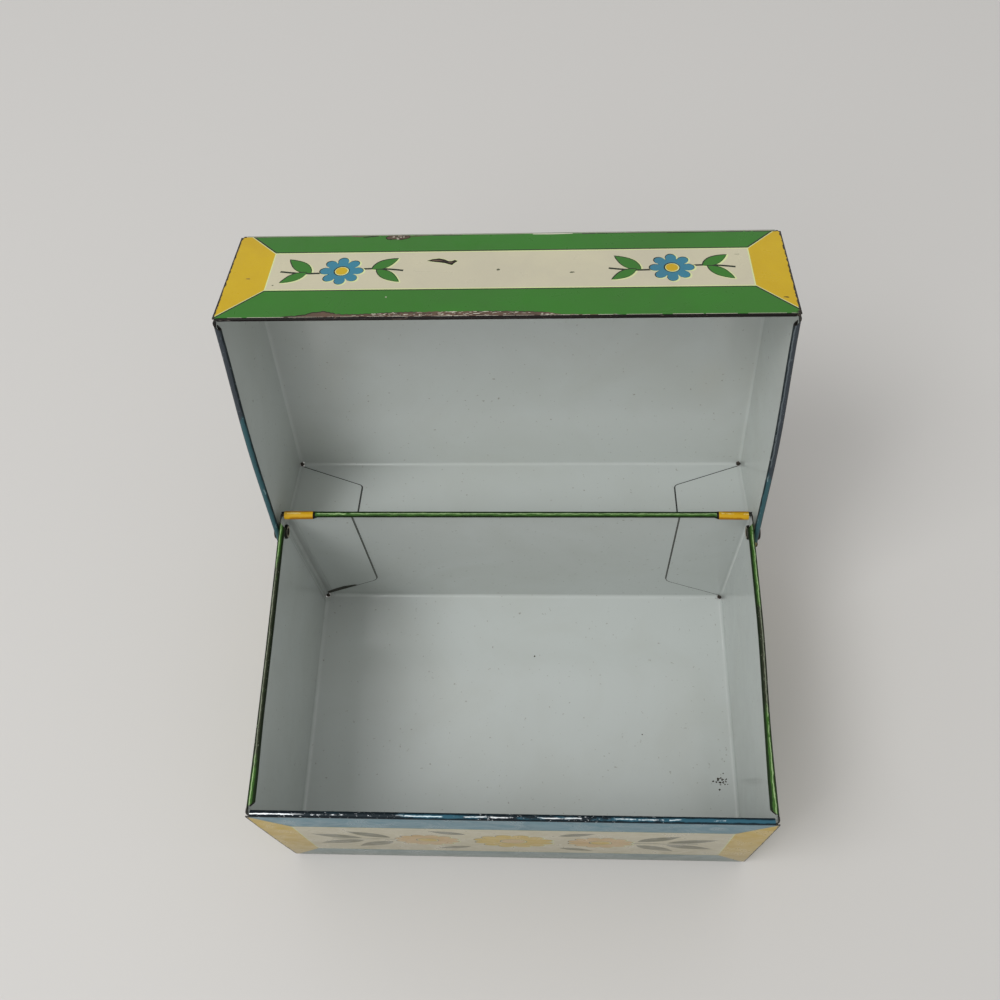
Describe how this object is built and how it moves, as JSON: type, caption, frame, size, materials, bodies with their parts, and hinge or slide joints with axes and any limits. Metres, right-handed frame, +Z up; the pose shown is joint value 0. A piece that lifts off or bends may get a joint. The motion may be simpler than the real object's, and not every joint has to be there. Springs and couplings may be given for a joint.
{
  "type": "recipe card box",
  "caption": "Folded tinplate box for recipe cards, with curled rims and a deep lid that swings back on eyelets at its rear corners.",
  "frame": {"origin": "centre of the base's flat underside", "axes": "+Z up through the mouth of the base, +Y from the front wall to the hinged back wall, +X to the right of someone who faces the front"},
  "size_m": [0.141, 0.1339, 0.1415],
  "materials": {
    "enamelled_tinplate": "glossy enamel, printed outside",
    "aged_brass": "dull, darkened"
  },
  "bodies": {
    "base": {"base_tray": "enamelled_tinplate", "hinge_eyelet_left": "aged_brass", "hinge_eyelet_right": "aged_brass"},
    "lid": {"lid_tray": "enamelled_tinplate"}
  },
  "joints": [
    {"name": "lid_hinge", "type": "hinge", "parent": "base", "child": "lid", "pos_m": [0, 0.0384, 0.0615], "axis": [1, 0, 0], "range_deg": [0, 106]}
  ]
}
